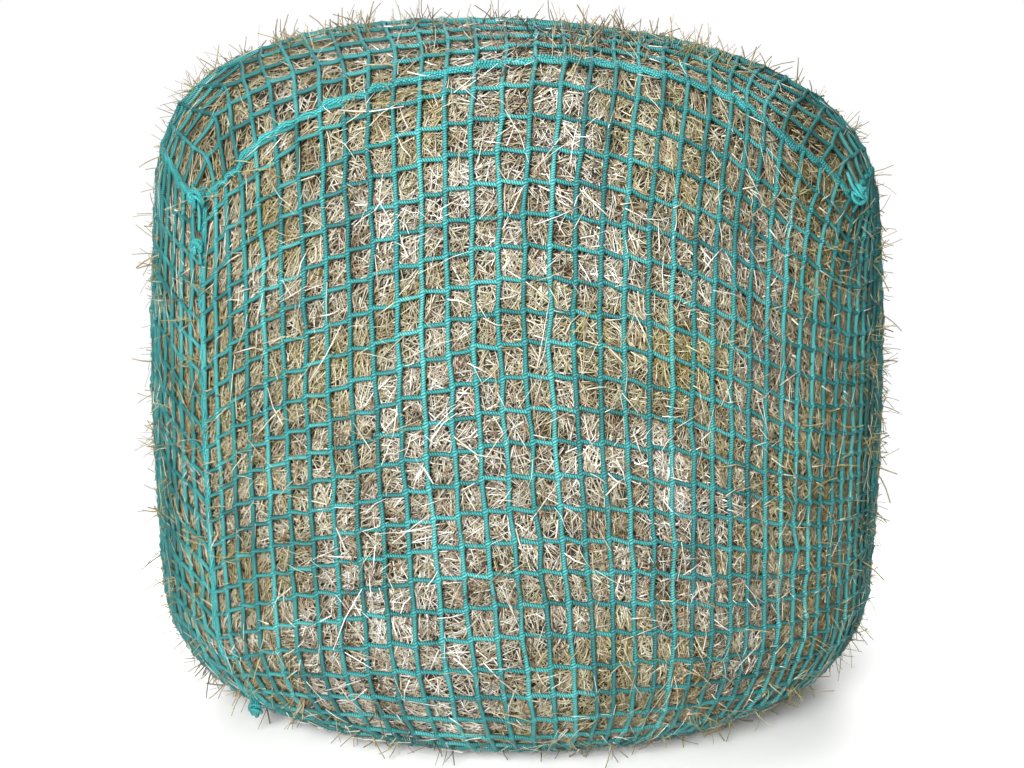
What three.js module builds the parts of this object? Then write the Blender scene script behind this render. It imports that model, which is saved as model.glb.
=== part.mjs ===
// A box-shaped hay net pulled over a round bale that stands on its end.
//
// Frame: millimetres, +Z up, origin on the ground under the middle of the bale.
// The front faces -Y. The square top panel of the net has its four corners at 45 degrees
// to the front, so one corner hangs over the rim at the front left, one at the front right,
// and so on round. The bag's mouth is drawn together underneath.
//
// Every surface is laid out on one net of coordinates: a bearing round the bale, in
// degrees from the front towards +X, and a station, the distance from the middle of the
// top along the hay's outline: over the crown, round the shoulder, down the wall, round
// the heel and back in under the bale.

import * as THREE from 'three';

// ---- driving dimensions, in millimetres and degrees ----

const baleRadius = 754;
const baleHeight = 1200;
const shoulderRadius = 268;
const heelRadius = 238;

const netGap = 2; // between the hay and the netting
const netThickness = 8; // the netting's own depth, joints included
const seamHalfGap = 7; // half the slot that a seam leaves between two panels

const seamCordRadius = 4;
const drawRopeRadius = 4.5;
const mouthRadius = 326;
const mouthHayRadius = 284;

const seamDrop = 776; // station of the top seam in the middle of a side
const cornerDip = 150; // how much further down the corners of the top panel reach
const cornerTilt = 30; // the dip grows by this towards the left and shrinks by it towards the right
const frontPull = 37; // the front's seam is pulled up this much to the right of its middle
const frontPullRise = [-22, 18]; // bearings over which the pull sets in
const frontPullFall = [21, 33]; // bearings over which it ends, next to the front right corner
const cornerBearings = { front_left: -45, front_right: 45, back_right: 135, back_left: 225 };
const sideSeamBearing = cornerBearings.front_left;

const bearingSteps = 48;
const crownSteps = 9;
const wallSteps = 19;

// How the bale departs from a plain round-cornered drum.
const crownDome = 12; // the crown's rise at its middle
const crownLean = 34; // the crown stands this much higher on the left rim than the middle
const shoulderFullness = 0.85; // how much squarer the shoulder is at the sides than in front
const barrelWaist = 0.028; // the wall narrows by this share at the top of the heel
const barrelWidest = 0.6; // height of the widest ring, as a share of the bale's height

// ---- the hay's outline ----

const underNet = netGap + netThickness;
const crownLength = baleRadius - shoulderRadius;
const shoulderLength = shoulderRadius * Math.PI / 2;
const wallLength = baleHeight - underNet - shoulderRadius - heelRadius;
const heelLength = heelRadius * Math.PI / 2;
const shoulderStart = crownLength;
const wallStart = shoulderStart + shoulderLength;
const heelStart = wallStart + wallLength;
const soleStart = heelStart + heelLength;
const mouthStation = soleStart + (baleRadius - heelRadius - mouthRadius);

const radians = THREE.MathUtils.degToRad;
const { clamp, lerp, smoothstep } = THREE.MathUtils;

// The point of the outline at a station, and the way it faces, as [radius, height].
// The shoulder is a quarter circle in front, and a squarer superellipse at the sides.
function outlineAt(station, bearing) {
  if (station < shoulderStart) {
    return { point: [station, baleHeight], facing: [0, 1] };
  }
  if (station < wallStart) {
    const tilt = Math.PI / 2 - (station - shoulderStart) / shoulderRadius;
    const facing = [Math.cos(tilt), Math.sin(tilt)];
    const squareness = 2 / (2 + shoulderFullness * Math.sin(radians(bearing)) ** 2);
    const radius = crownLength + shoulderRadius * facing[0] ** squareness;
    const height = baleHeight - shoulderRadius + shoulderRadius * facing[1] ** squareness;
    return { point: [radius, height], facing };
  }
  if (station < heelStart) {
    return { point: [baleRadius, baleHeight - shoulderRadius - (station - wallStart)], facing: [1, 0] };
  }
  if (station < soleStart) {
    const tilt = -(station - heelStart) / heelRadius;
    const facing = [Math.cos(tilt), Math.sin(tilt)];
    const radius = baleRadius - heelRadius + heelRadius * facing[0];
    return { point: [radius, underNet + heelRadius + heelRadius * facing[1]], facing };
  }
  return { point: [baleRadius - heelRadius - (station - soleStart), underNet], facing: [0, -1] };
}

// 0 in the middle of a side, 1 at a corner of the top panel.
function cornerShare(bearing) {
  return Math.abs(Math.abs(THREE.MathUtils.euclideanModulo(bearing, 90) - 45) - 45) / 45;
}

// A bale point from its plain drum position: barrel-shaped wall, leaning and domed crown.
function shaped(radius, height, bearing) {
  const high = clamp(height / baleHeight, 0, 1);
  const heelShare = (underNet + heelRadius) / baleHeight;
  const fromWidest = (Math.max(high, heelShare) - barrelWidest) / (barrelWidest - heelShare);
  const wallShare = smoothstep(radius, mouthRadius, crownLength);
  const barrel = 1 - barrelWaist * wallShare * fromWidest ** 2;
  const x = radius * barrel * Math.sin(radians(bearing));
  const y = -radius * barrel * Math.cos(radians(bearing));
  const crownShare = clamp((high - 0.5) * 2, 0, 1);
  const rise = crownDome * (1 - (radius / baleRadius) ** 2) - crownLean * x / baleRadius;
  return new THREE.Vector3(x, y, height + crownShare * rise);
}

// A point that stands off the hay by a given distance.
function standingOff(station, bearing, distance) {
  const { point, facing } = outlineAt(station, bearing);
  return shaped(point[0] + distance * facing[0], point[1] + distance * facing[1], bearing);
}

// The station of the top seam: it dips towards each corner, and is pulled up in front.
function seamStation(bearing) {
  const dip = cornerDip - cornerTilt * Math.sin(radians(bearing));
  const pull = smoothstep(bearing, ...frontPullRise) * (1 - smoothstep(bearing, ...frontPullFall));
  return seamDrop + dip * cornerShare(bearing) ** 1.6 - frontPull * pull;
}

// ---- closed meshes ----

function solid(points, triangles) {
  const geometry = new THREE.BufferGeometry();
  geometry.setFromPoints(points);
  geometry.setIndex(triangles.flat());
  geometry.computeVertexNormals();
  return geometry;
}

// Two triangles for the four-sided patch a, b, c, d, seen anticlockwise.
function patch(a, b, c, d) {
  return [[a, b, c], [a, c, d]];
}

function bearingAt(step) {
  return sideSeamBearing + 360 * step / bearingSteps;
}

// Stations of the netting from one edge to the other along one bearing.
function stationsBetween(from, to, steps) {
  return Array.from({ length: steps + 1 }, (_, i) => lerp(from, to, i / steps));
}

// The hay: rings from the crown to the mouth's edge, where it swells down to the ground.
function hayGeometry() {
  const points = [standingOff(0, 0, 0)];
  const rings = [];
  for (let step = 0; step < bearingSteps; step += 1) {
    const bearing = bearingAt(step);
    const seam = seamStation(bearing);
    const stations = [
      ...stationsBetween(0, seam, crownSteps).slice(1),
      ...stationsBetween(seam, mouthStation, wallSteps).slice(1),
    ];
    const column = stations.map((station) => standingOff(station, bearing, 0));
    column.push(shaped(mouthHayRadius + underNet, underNet, bearing));
    column.push(shaped(mouthHayRadius, 0, bearing));
    rings.push(column);
  }
  const ringCount = rings[0].length;
  const index = (step, ring) => 1 + (step % bearingSteps) * ringCount + ring;
  rings.forEach((column) => points.push(...column));
  const soleMiddle = points.length;
  points.push(new THREE.Vector3(0, 0, 0));
  const triangles = [];
  for (let step = 0; step < bearingSteps; step += 1) {
    triangles.push([0, index(step, 0), index(step + 1, 0)]);
    for (let ring = 0; ring + 1 < ringCount; ring += 1) {
      triangles.push(...patch(
        index(step, ring), index(step, ring + 1), index(step + 1, ring + 1), index(step + 1, ring),
      ));
    }
    triangles.push([soleMiddle, index(step + 1, ringCount - 1), index(step, ringCount - 1)]);
  }
  return solid(points, triangles);
}

// The top panel: a dome of netting out to the seam.
function topNetGeometry() {
  const points = [standingOff(0, 0, netGap), standingOff(0, 0, underNet)];
  const index = (step, ring, layer) => 2 + ((step % bearingSteps) * crownSteps + ring) * 2 + layer;
  for (let step = 0; step < bearingSteps; step += 1) {
    const bearing = bearingAt(step);
    const seam = seamStation(bearing);
    const stations = stationsBetween(0, seam, crownSteps).slice(1);
    stations[crownSteps - 1] = seam - seamHalfGap;
    for (const station of stations) {
      points.push(standingOff(station, bearing, netGap));
      points.push(standingOff(station, bearing, underNet));
    }
  }
  const triangles = [];
  for (let step = 0; step < bearingSteps; step += 1) {
    const next = step + 1;
    triangles.push([1, index(step, 0, 1), index(next, 0, 1)]);
    triangles.push([0, index(next, 0, 0), index(step, 0, 0)]);
    for (let ring = 0; ring + 1 < crownSteps; ring += 1) {
      triangles.push(...patch(
        index(step, ring, 1), index(step, ring + 1, 1), index(next, ring + 1, 1), index(next, ring, 1),
      ));
      triangles.push(...patch(
        index(step, ring, 0), index(next, ring, 0), index(next, ring + 1, 0), index(step, ring + 1, 0),
      ));
    }
    const rim = crownSteps - 1;
    triangles.push(...patch(
      index(step, rim, 1), index(step, rim, 0), index(next, rim, 0), index(next, rim, 1),
    ));
  }
  return solid(points, triangles);
}

// The side strip: one length of netting wound once round, its two ends a slot apart at the
// side seam, from the top seam down, round the heel and in to the mouth.
function sideNetGeometry() {
  const slotDegrees = THREE.MathUtils.radToDeg(seamHalfGap / baleRadius);
  const points = [];
  const perColumn = wallSteps + 1;
  const index = (step, ring, layer) => (step * perColumn + ring) * 2 + layer;
  for (let step = 0; step <= bearingSteps; step += 1) {
    const bearing = bearingAt(step);
    const seam = seamStation(bearing);
    const stations = stationsBetween(seam, mouthStation, wallSteps);
    stations[0] = seam + seamHalfGap;
    for (const station of stations) {
      // The slot keeps its width under the bale, where a degree is shorter.
      const widening = baleRadius / Math.max(outlineAt(station, bearing).point[0], mouthRadius);
      const inset = slotDegrees * widening;
      const offset = step === 0 ? inset : step === bearingSteps ? -inset : 0;
      points.push(standingOff(station, bearing + offset, netGap));
      points.push(standingOff(station, bearing + offset, underNet));
    }
  }
  const triangles = [];
  for (let step = 0; step < bearingSteps; step += 1) {
    const next = step + 1;
    for (let ring = 0; ring < wallSteps; ring += 1) {
      triangles.push(...patch(
        index(step, ring, 1), index(step, ring + 1, 1), index(next, ring + 1, 1), index(next, ring, 1),
      ));
      triangles.push(...patch(
        index(step, ring, 0), index(next, ring, 0), index(next, ring + 1, 0), index(step, ring + 1, 0),
      ));
    }
    triangles.push(...patch(index(step, 0, 0), index(step, 0, 1), index(next, 0, 1), index(next, 0, 0)));
    triangles.push(...patch(
      index(step, wallSteps, 1), index(step, wallSteps, 0),
      index(next, wallSteps, 0), index(next, wallSteps, 1),
    ));
  }
  for (let ring = 0; ring < wallSteps; ring += 1) {
    triangles.push(...patch(
      index(0, ring, 0), index(0, ring + 1, 0), index(0, ring + 1, 1), index(0, ring, 1),
    ));
    triangles.push(...patch(
      index(bearingSteps, ring, 1), index(bearingSteps, ring + 1, 1),
      index(bearingSteps, ring + 1, 0), index(bearingSteps, ring, 0),
    ));
  }
  return solid(points, triangles);
}

// A round cord along a run of points.
function cordGeometry(route, radius, steps) {
  const section = new THREE.Shape();
  section.absarc(0, 0, radius, 0, Math.PI * 2);
  const extrudePath = new THREE.CatmullRomCurve3(route);
  return new THREE.ExtrudeGeometry(section, { steps, curveSegments: 4, bevelEnabled: false, extrudePath });
}

// ---- sub-parts ----

const twine = new THREE.MeshStandardMaterial({ color: 0x1fa39b, roughness: 0.6, metalness: 0 });
const hay = new THREE.MeshStandardMaterial({ color: 0xa08a63, roughness: 0.95, metalness: 0 });

const net = new THREE.Group();

function addPart(name, geometry, material) {
  const mesh = new THREE.Mesh(geometry, material);
  mesh.name = name;
  net.add(mesh);
  return mesh;
}

const cordStandOff = netGap + seamCordRadius;
const knotWidth = 42;
const knotDepth = 20;
const knotLift = 0.6; // between the netting and the knots that lie on it
const lacingKnotWidth = 30;
const lacingKnotDepth = 16;
const cordEndGap = 2;
const knotClearDegrees = THREE.MathUtils.radToDeg((knotWidth / 2 + cordEndGap + 1) / baleRadius);

// A point of the top seam. Between the bearings where the panels have vertices it runs
// straight, as their edges do, so the lacing stays in the middle of the slot.
function topSeamPoint(bearing) {
  const stepDegrees = 360 / bearingSteps;
  const before = Math.floor(bearing / stepDegrees) * stepDegrees;
  const [from, to] = [before, before + stepDegrees].map(
    (vertexBearing) => standingOff(seamStation(vertexBearing), vertexBearing, cordStandOff),
  );
  return from.lerp(to, (bearing - before) / stepDegrees);
}

// The lacing that joins one edge of the top panel to the side strip, from knot to knot.
function addTopSeamCord(side, middleBearing) {
  const reach = 45 - knotClearDegrees;
  const spans = 24;
  const route = Array.from(
    { length: spans + 1 },
    (_, i) => topSeamPoint(middleBearing + lerp(-reach, reach, i / spans)),
  );
  addPart(`top_seam_cord_${side}`, cordGeometry(route, seamCordRadius, spans), twine);
}

// A knot, lying on the netting: a squat round lump facing away from the hay.
function addKnot(name, station, bearing, width, depth) {
  const floor = underNet + knotLift;
  const middle = standingOff(station, bearing, floor + depth / 2);
  const outward = standingOff(station, bearing, floor + depth).sub(middle).normalize();
  const lump = new THREE.SphereGeometry(width / 2, 12, 8);
  lump.scale(1, depth / width, 1);
  const mesh = addPart(name, lump, twine);
  mesh.position.copy(middle);
  mesh.quaternion.setFromUnitVectors(new THREE.Vector3(0, 1, 0), outward);
}

// One stretch of the side seam's lacing, from station to station.
function addSideSeamCord(name, from, to) {
  const pointSpacing = 60;
  const pointCount = Math.max(2, Math.round((to - from) / pointSpacing));
  const route = Array.from({ length: pointCount }, (_, i) => {
    const station = lerp(from, to, i / (pointCount - 1));
    return standingOff(station, sideSeamBearing, cordStandOff);
  });
  addPart(name, cordGeometry(route, seamCordRadius, 2 * (pointCount - 1)), twine);
}

// The cord bound into the mouth's edge: a closed ring lying flat under the bale.
function addMouthEdgeCord(ringRadius) {
  const ring = new THREE.TorusGeometry(ringRadius, seamCordRadius, 8, bearingSteps);
  addPart('mouth_edge_cord', ring, twine).position.z = underNet / 2;
}

// The rope that draws the mouth together: a ring whose two ends meet in a flat knot at the back.
function addDrawRope(ringRadius) {
  const knotLength = 34;
  const knotBreadth = 17;
  const knotHeight = 8.5;
  const halfOpening = (knotLength / 2 + 1) / ringRadius;
  const pointCount = 25;
  const route = Array.from({ length: pointCount }, (_, i) => {
    const turn = lerp(halfOpening, 2 * Math.PI - halfOpening, i / (pointCount - 1));
    return new THREE.Vector3(-ringRadius * Math.sin(turn), ringRadius * Math.cos(turn), underNet / 2);
  });
  addPart('draw_rope', cordGeometry(route, drawRopeRadius, bearingSteps), twine);
  const knot = new THREE.SphereGeometry(knotLength / 2, 12, 8);
  knot.scale(1, knotBreadth / knotLength, knotHeight / knotLength);
  addPart('draw_rope_knot', knot, twine).position.set(0, ringRadius - knotBreadth / 4, underNet / 2);
}

addPart('hay_bale', hayGeometry(), hay);
addPart('top_net', topNetGeometry(), twine);
addPart('side_net', sideNetGeometry(), twine);

const sideMiddles = { front: 0, right: 90, back: 180, left: 270 };
for (const [side, bearing] of Object.entries(sideMiddles)) {
  addTopSeamCord(side, bearing);
}
for (const [corner, bearing] of Object.entries(cornerBearings)) {
  addKnot(`corner_knot_${corner}`, seamStation(bearing), bearing, knotWidth, knotDepth);
}

// The side seam's lacing runs from under the corner knot down to the mouth's edge, and is
// tied off twice on the way.
const sideSeamTop = seamStation(sideSeamBearing);
const highKnotStation = sideSeamTop + 74;
const lowKnotStation = heelStart + heelLength * 0.55;
const knotClear = lacingKnotWidth / 2 + cordEndGap;
const topCordStart = sideSeamTop + knotWidth / 2 + cordEndGap;
addSideSeamCord('side_seam_cord_top', topCordStart, highKnotStation - knotClear);
addSideSeamCord('side_seam_cord_wall', highKnotStation + knotClear, lowKnotStation - knotClear);
addSideSeamCord('side_seam_cord_sole', lowKnotStation + knotClear, mouthStation - 1);
addKnot('side_seam_knot_high', highKnotStation, sideSeamBearing, lacingKnotWidth, lacingKnotDepth);
addKnot('side_seam_knot_low', lowKnotStation, sideSeamBearing, lacingKnotWidth, lacingKnotDepth);

const mouthCordRing = mouthRadius - seamCordRadius - 1;
addMouthEdgeCord(mouthCordRing);
addDrawRope(mouthCordRing - seamCordRadius - drawRopeRadius - 1);

export default net;
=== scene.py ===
"""A box-shaped hay net drawn tight over a round bale that stands on its end.

Everything is laid out on the bale's own coordinates, as the CAD is: a bearing round the
bale, in degrees from the front (-Y) towards +X, and a station, the distance in metres from
the middle of the top along the hay's outline. The netting adds mesh coordinates: on the
side strip a column, 0 to 120 round from the side seam, and a row, 0 at the top seam and
growing downwards; on the top panel two line numbers, -15 to 15 each.
"""

import math

import bpy
import numpy as np
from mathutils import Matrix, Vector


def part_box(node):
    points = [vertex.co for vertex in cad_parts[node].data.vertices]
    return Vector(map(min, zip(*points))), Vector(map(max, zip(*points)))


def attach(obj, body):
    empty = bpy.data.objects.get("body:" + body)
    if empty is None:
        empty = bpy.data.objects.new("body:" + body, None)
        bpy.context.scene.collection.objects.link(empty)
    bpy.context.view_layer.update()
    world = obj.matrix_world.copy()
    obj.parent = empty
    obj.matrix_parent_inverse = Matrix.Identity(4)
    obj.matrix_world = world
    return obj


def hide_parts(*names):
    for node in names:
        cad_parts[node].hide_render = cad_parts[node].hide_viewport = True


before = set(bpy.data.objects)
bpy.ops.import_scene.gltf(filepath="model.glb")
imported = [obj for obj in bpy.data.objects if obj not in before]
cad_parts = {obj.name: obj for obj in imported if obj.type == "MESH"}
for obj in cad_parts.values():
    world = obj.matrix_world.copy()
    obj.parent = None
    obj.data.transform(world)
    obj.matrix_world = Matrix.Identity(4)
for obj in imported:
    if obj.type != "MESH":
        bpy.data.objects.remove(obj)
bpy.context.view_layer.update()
random = np.random.default_rng(20)

MM = 0.001

# ---- the bale's outline, as in the CAD ----

hay_low, hay_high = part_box("hay_bale")
_, net_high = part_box("side_net")
mouth_low, mouth_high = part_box("mouth_edge_cord")

BALE_RADIUS = (hay_high[0] - hay_low[0]) / 2
BALE_HEIGHT = 1.2
SHOULDER_RADIUS = 0.268
HEEL_RADIUS = 0.238
UNDER_NET = net_high[0] - hay_high[0]
MOUTH_RADIUS = mouth_high[0] + 1 * MM
CROWN_DOME = 0.012  # the crown's middle above its rim
CROWN_LEAN = 0.034  # the crown's fall from its middle to its right-hand rim
SHOULDER_FULLNESS = 0.85  # 0 is a round shoulder; more is squarer
BARREL_WAIST = 0.028  # the share of its width that the bale loses at its ends
BARREL_WIDEST = 0.6  # the share of its height at which the bale is widest

SEAM_DROP = 0.776  # station of the top seam in the middle of a side
CORNER_DIP = 0.150  # how much further down it runs at a corner
CORNER_TILT = 0.030
DIP_SHARPNESS = 1.6
FRONT_PULL = 0.037  # the front seam is pulled up by this much
FRONT_PULL_RISE = (-22, 18)  # between these bearings
FRONT_PULL_FALL = (21, 33)
SIDE_SEAM_BEARING = -45.0

CROWN_LENGTH = BALE_RADIUS - SHOULDER_RADIUS
WALL_START = CROWN_LENGTH + SHOULDER_RADIUS * math.pi / 2
HEEL_START = WALL_START + BALE_HEIGHT - UNDER_NET - SHOULDER_RADIUS - HEEL_RADIUS
SOLE_START = HEEL_START + HEEL_RADIUS * math.pi / 2
MOUTH_STATION = SOLE_START + BALE_RADIUS - HEEL_RADIUS - MOUTH_RADIUS

# ---- the netting ----

MESHES_PER_SIDE = 30
COLUMNS = 4 * MESHES_PER_SIDE
ROWS = 30
HALF_PANEL = MESHES_PER_SIDE / 2
SEAM_PITCH = 360 / COLUMNS  # degrees between neighbouring columns at the top seam
DRAWN_PITCH = 0.385  # degrees by which each of the front's columns is drawn to its neighbour
DRAWN_COLUMNS = (6.5, 40)  # the columns, counted from the side seam, that are drawn together
MESH_WIDTH = math.radians(SEAM_PITCH) * BALE_RADIUS
MESH_HEIGHT = (MOUTH_STATION - SEAM_DROP) / ROWS
TWINE_RADIUS = 3.6 * MM
EDGE_GAP = 2.4 * MM  # from a panel's last twine to the seam's middle
NET_HEIGHT = 6.0 * MM  # the twines' middles above the hay
SEAM_HEIGHT = 6.8 * MM  # the lacing's middle above the hay
UNDER_SOLE = 0.2  # this far past the heel's start the net is pressed flat under the bale


def smoothstep(value, low, high):
    """0 up to low, 1 from high on, and smooth between them."""
    share = np.clip((value - low) / (high - low), 0, 1)
    return share * share * (3 - 2 * share)


def outline(station, bearing):
    """Radius, height and outward direction (radial, vertical) of the plain drum outline."""
    sine = np.sin(np.radians(bearing))
    squareness = 2 / (2 + SHOULDER_FULLNESS * sine**2)
    shoulder = math.pi / 2 - (station - CROWN_LENGTH) / SHOULDER_RADIUS
    heel = -(station - HEEL_START) / HEEL_RADIUS
    # In turn: the crown, the shoulder, the wall and the heel. What is left is the sole.
    places = [station < end for end in (CROWN_LENGTH, WALL_START, HEEL_START, SOLE_START)]
    shoulder_out = np.clip(np.cos(shoulder), 0, 1)
    shoulder_up = np.clip(np.sin(shoulder), 0, 1)
    radius = np.select(
        places,
        [
            station,
            CROWN_LENGTH + SHOULDER_RADIUS * shoulder_out**squareness,
            BALE_RADIUS + 0 * station,
            BALE_RADIUS - HEEL_RADIUS + HEEL_RADIUS * np.cos(heel),
        ],
        BALE_RADIUS - HEEL_RADIUS - (station - SOLE_START),
    )
    height = np.select(
        places,
        [
            BALE_HEIGHT + 0 * station,
            BALE_HEIGHT - SHOULDER_RADIUS + SHOULDER_RADIUS * shoulder_up**squareness,
            BALE_HEIGHT - SHOULDER_RADIUS - (station - WALL_START),
            UNDER_NET + HEEL_RADIUS + HEEL_RADIUS * np.sin(heel),
        ],
        UNDER_NET,
    )
    outward = np.select(places, [0 * station, shoulder_out, 1 + 0 * station, np.cos(heel)], 0)
    upward = np.select(places, [1 + 0 * station, shoulder_up, 0 * station, np.sin(heel)], -1)
    return radius, height, outward, upward


def surface(station, bearing, stand_off):
    """Points that stand off the hay by a distance, as an array of (..., 3)."""
    station, bearing, stand_off = np.broadcast_arrays(station, bearing, stand_off)
    radius, height, outward, upward = outline(station, bearing)
    radius = radius + stand_off * outward
    height = height + stand_off * upward
    high = np.clip(height / BALE_HEIGHT, 0, 1)
    heel_share = (UNDER_NET + HEEL_RADIUS) / BALE_HEIGHT
    from_widest = (np.maximum(high, heel_share) - BARREL_WIDEST) / (BARREL_WIDEST - heel_share)
    wall_share = smoothstep(radius, MOUTH_RADIUS, CROWN_LENGTH)
    barrel = 1 - BARREL_WAIST * wall_share * from_widest**2
    x = radius * barrel * np.sin(np.radians(bearing))
    y = -radius * barrel * np.cos(np.radians(bearing))
    crown_share = np.clip((high - 0.5) * 2, 0, 1)
    rise = CROWN_DOME * (1 - (radius / BALE_RADIUS) ** 2) - CROWN_LEAN * x / BALE_RADIUS
    return np.stack([x, y, height + crown_share * rise], axis=-1)


def outward_normals(station, bearing):
    """Unit vectors that point straight away from the hay."""
    reach = 10 * MM
    return unit(surface(station, bearing, reach) - surface(station, bearing, 0))


def unit(vectors):
    """The vectors scaled to length 1."""
    shortest = 1e-12
    return vectors / np.maximum(np.linalg.norm(vectors, axis=-1, keepdims=True), shortest)


def corner_share(bearing):
    """0 in the middle of a side, 1 at a corner of the top panel."""
    return np.abs(np.abs(np.mod(bearing, 90) - 45) - 45) / 45


def corner_dip(bearing):
    """How far a corner hangs below the middles of its sides; the left ones hang further."""
    return CORNER_DIP - CORNER_TILT * np.sin(np.radians(bearing))


def front_pull(bearing):
    """How far the front's seam is pulled up, to the right of its middle."""
    released = smoothstep(bearing, *FRONT_PULL_FALL)
    return FRONT_PULL * smoothstep(bearing, *FRONT_PULL_RISE) * (1 - released)


def seam_station(bearing):
    """Station of the top seam."""
    sharp = corner_share(bearing) ** DIP_SHARPNESS
    return SEAM_DROP + corner_dip(bearing) * sharp - front_pull(bearing)


def seam_slip(bearing):
    """Degrees by which the front's columns are dragged to the left along the seam."""
    left_slip = 2.2
    right_slip = 2.3
    right_start = 21
    to_corner = 45 - right_start
    by_left_knot = smoothstep(bearing, -45, -36) * (1 - smoothstep(bearing, -9, 6))
    by_right_knot = np.sin(math.pi * np.clip((bearing - right_start) / to_corner, 0, 1)) ** 2
    return left_slip * by_left_knot + right_slip * by_right_knot


# ---- mesh coordinates to bale coordinates ----


class Ripple:
    """Smooth seeded noise over a plane, from waves in many directions."""

    def __init__(self, shortest, longest, count=14):
        angles = random.uniform(0, 2 * math.pi, count)
        lengths = random.uniform(shortest, longest, count)
        self.waves = np.stack([np.cos(angles), np.sin(angles)]) * 2 * math.pi / lengths
        self.phases = random.uniform(0, 2 * math.pi, count)

    def at(self, across, down):
        """The noise at mesh coordinates, mostly between -2 and 2."""
        phase = across[..., None] * self.waves[0] + down[..., None] * self.waves[1] + self.phases
        return np.sin(phase).sum(axis=-1) / math.sqrt(len(self.phases) / 2)


side_drift = [Ripple(7, 24), Ripple(7, 24)]
top_drift = [Ripple(7, 20), Ripple(7, 20)]
DRIFT = 1.5 * MM  # how far the twines stray from their even places


def from_side_seam(column):
    """Columns to the side seam, on the side where it is nearer."""
    return np.minimum(column, COLUMNS - column)


def sway(column, row):
    """The columns' slow lean to the right on their way down, held straight by the side seam."""
    wave_size, wave_depth = 15 * MM, 20
    wave_start, wave_length = 4.5, 27.2
    held = smoothstep(from_side_seam(column), 2, 17)
    depth = np.minimum(row, 24)
    lean = 1.2 * MM * depth + 0.06 * MM * depth**2
    wave = wave_size * (depth / wave_depth) ** 3
    wave = wave * np.sin(2 * math.pi * (column - wave_start) / wave_length)
    return (lean + wave) * held


def drawn_together(column):
    """Degrees by which a column is drawn to the side seam, well below the top seam."""
    first, last = DRAWN_COLUMNS
    easing = 1.5
    gathered = easing * np.logaddexp(0, (column - first) / easing)
    let_out = (last - first) * (COLUMNS - column) / (COLUMNS - last)
    return DRAWN_PITCH * np.minimum(gathered, let_out)


def corner_valley(column, row, bearing):
    """How far a row hangs below the top seam's level: deep at the corners, gone further down."""
    share = corner_share(bearing)
    sharp = share**DIP_SHARPNESS
    rounded = np.sin(share * math.pi / 2) ** 2
    ease = smoothstep(row, 2, 10) * smoothstep(from_side_seam(column), 0, 17)
    valley = sharp + (rounded - sharp) * ease
    sine = np.sin(np.radians(bearing))
    settled = 1 - 0.12 * sine * smoothstep(row, 0, 3)
    level_row = 22.5 - 5 * sine
    fade = np.clip(1 - (row / level_row) ** 2, 0, 1)
    return corner_dip(bearing) * settled * valley * fade


def side_place(column, row):
    """Station and bearing of a place on the side strip, in mesh coordinates."""
    at_seam = SIDE_SEAM_BEARING + column * SEAM_PITCH
    near_seam = np.exp(-row / 3.2)
    drawn = drawn_together(column) * (1 - near_seam)
    straight = at_seam - drawn - seam_slip(at_seam) * near_seam
    pinned = np.clip(from_side_seam(column) / 3, 0, 1) * np.clip(row / 2, 0, 1)
    across = side_drift[0].at(column, row) * DRIFT * pinned + sway(column, row)
    down = side_drift[1].at(column, row) * DRIFT * pinned
    bearing = straight + np.degrees(across / BALE_RADIUS)
    # The first row is short, and the front's right-hand part sags below the pulled-up seam.
    first_row = smoothstep(row, 0, 1)
    short_row = 14 * MM * first_row * smoothstep(ROWS - row, 0, 6)
    pulled = front_pull(straight) * np.exp(-row / 0.7)
    sagging = 16 * MM * smoothstep(straight, 15, 32) * first_row * np.exp(-row / 6)
    dip = corner_valley(column, row, straight)
    station = SEAM_DROP + row * MESH_HEIGHT + dip - short_row - pulled + sagging + down
    return station, bearing


def gathered_ring(ring):
    """The top panel's meshes are stretched in its middle and bunch up over the shoulder."""
    bunching, place, width = 0.2, 0.85, 0.2
    step = np.tanh((ring - place) / width) + math.tanh(place / width)
    whole_step = math.tanh((1 - place) / width) + math.tanh(place / width)
    return (1 + bunching) * ring - bunching * step / whole_step


def top_place(across, along):
    """Station and bearing of a place on the top panel; along is -15 at the front edge."""
    ring = np.maximum(np.abs(across), np.abs(along)) / HALF_PANEL
    flat_bearing = np.degrees(np.arctan2(across, -along))
    quarter = np.round(flat_bearing / 90)
    turned = np.radians(flat_bearing - 90 * quarter)
    # Below the rim the lines hang straight, except close to the panel's diagonals.
    side_share = np.tan(turned)
    straight = ring * (1 - np.abs(side_share) ** 3)
    at_seam = 90 * quarter + 45 * side_share * (1 - straight * (1 - ring))
    seam_bearing = at_seam - seam_slip(at_seam)
    bearing = flat_bearing + (seam_bearing - flat_bearing) * ring**2
    flat_reach = SEAM_DROP / np.cos(turned)
    reach = flat_reach + (seam_station(seam_bearing) - flat_reach) * ring
    free_from = 6  # the lines stray fully from a sixth of the way in from the seam
    pinned = np.clip((1 - ring) * free_from, 0, 1)
    inward = top_drift[0].at(across, along) * DRIFT * pinned
    sideways = top_drift[1].at(across, along) * DRIFT * pinned
    bunched = ring + (gathered_ring(ring) - ring) * (1 - side_share**2)
    station = np.maximum(bunched * reach + inward, 0)
    calm_middle = 0.1
    bearing = bearing + np.degrees(sideways / np.maximum(station, calm_middle))
    return station, bearing


def swell(across, down):
    """0 under the twine lines, 1 in the middle of each mesh, where the hay bulges out."""
    bulge = np.abs(np.sin(math.pi * across) * np.sin(math.pi * down))
    return bulge**0.7


# ---- mesh building ----


def placed(name, data):
    """A new object in the scene."""
    obj = bpy.data.objects.new(name, data)
    bpy.context.scene.collection.objects.link(obj)
    return obj


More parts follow.
